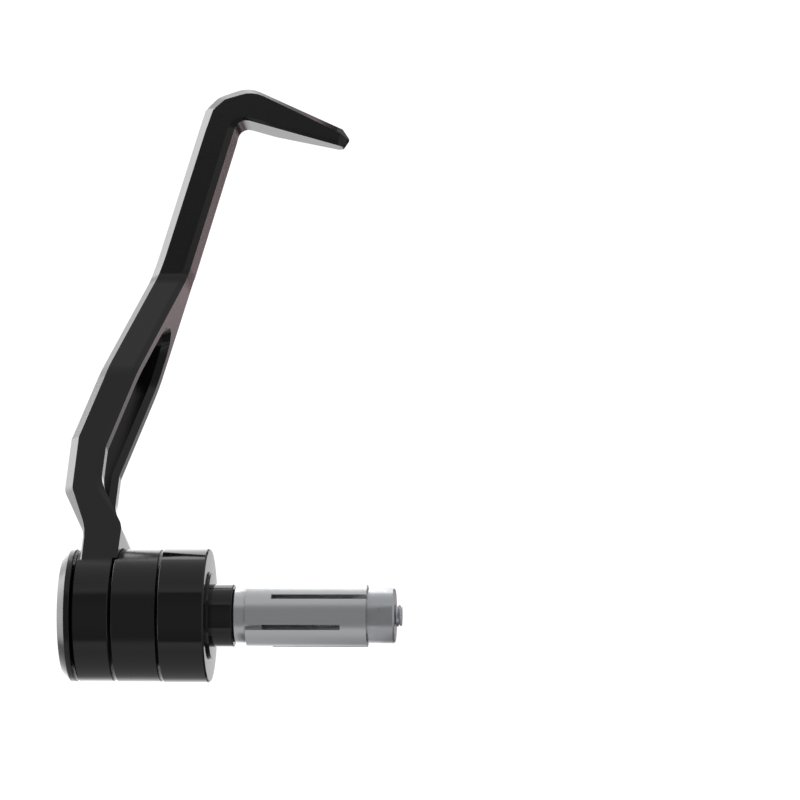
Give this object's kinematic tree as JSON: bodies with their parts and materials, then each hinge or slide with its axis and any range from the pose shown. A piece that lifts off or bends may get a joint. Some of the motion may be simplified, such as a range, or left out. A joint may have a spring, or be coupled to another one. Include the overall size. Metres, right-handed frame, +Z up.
{
  "type": "brake lever guard",
  "caption": "Bar-end lever guard: a milled bow with a forked, windowed stem sweeps forward from an eye clamped between turned rings and hooks inboard ahead of the lever.",
  "frame": {"origin": "on the handlebar's axis, at the plane of its open end, where the inner collar's land rests on the tube", "axes": "+X into the handlebar, towards the grip; +Y forward, the way the guard reaches; +Z up, square to the level outer part of the bow"},
  "size_m": [0.0934, 0.1832, 0.0491],
  "materials": {
    "black_anodised": "black anodised, satin",
    "screw_steel": "zinc plated",
    "plain_alloy": "plain machined"
  },
  "bodies": {
    "root": {"guard_bow": "black_anodised", "end_cap": "black_anodised", "spacer_ring": "black_anodised", "inner_collar": "black_anodised", "cap_screw": "screw_steel", "screw_washer": "screw_steel", "taper_nut": "screw_steel", "front_cone": "plain_alloy", "expander_sleeve": "plain_alloy"}
  },
  "joints": []
}
